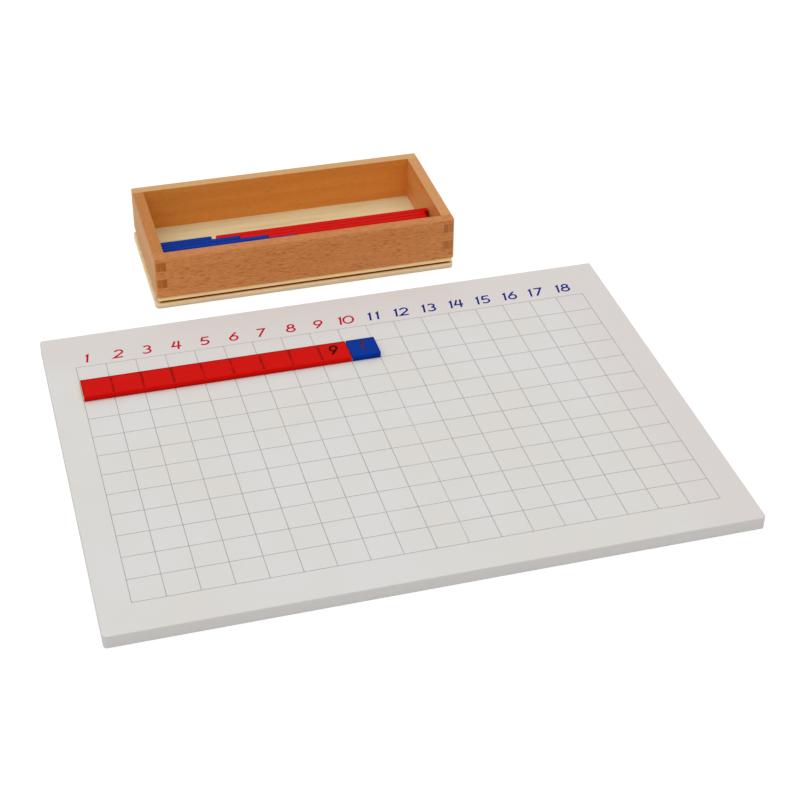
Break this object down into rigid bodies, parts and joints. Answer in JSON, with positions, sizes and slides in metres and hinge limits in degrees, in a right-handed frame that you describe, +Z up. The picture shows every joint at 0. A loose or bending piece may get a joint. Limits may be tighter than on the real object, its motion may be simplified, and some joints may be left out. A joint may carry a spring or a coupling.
{
  "type": "addition strip board",
  "caption": "Flat painted counting board ruled in squares, with red and blue number strips and an open finger-jointed wooden box that stands on its upturned lid.",
  "frame": {"origin": "centre of the board's underside, on the surface that the board and the box stand on", "axes": "+X along the row of numbers, from low to high; +Y from the board's front edge to the box behind it; +Z up"},
  "size_m": [0.5, 0.5511, 0.0511],
  "materials": {
    "board_paint": "satin off-white paint on board",
    "red_paint": "semi-gloss red paint on wood",
    "blue_paint": "semi-gloss blue paint on wood",
    "beech": "clear-lacquered steamed beech",
    "birch_plywood": "clear-lacquered birch plywood"
  },
  "bodies": {
    "root": {"board": "board_paint", "red_strip_1": "red_paint", "red_strip_2": "red_paint", "red_strip_3": "red_paint", "red_strip_4": "red_paint", "red_strip_5": "red_paint", "red_strip_6": "red_paint", "red_strip_7": "red_paint", "red_strip_8": "red_paint", "red_strip_9": "red_paint", "blue_strip_1": "blue_paint", "blue_strip_2": "blue_paint", "blue_strip_3": "blue_paint", "blue_strip_4": "blue_paint", "blue_strip_5": "blue_paint", "blue_strip_6": "blue_paint", "blue_strip_7": "blue_paint", "blue_strip_8": "blue_paint", "blue_strip_9": "blue_paint", "box_front": "beech", "box_back": "beech", "box_left_end": "beech", "box_right_end": "beech", "box_bottom": "birch_plywood", "lid_panel": "birch_plywood", "lid_locating_board": "birch_plywood"}
  },
  "joints": []
}
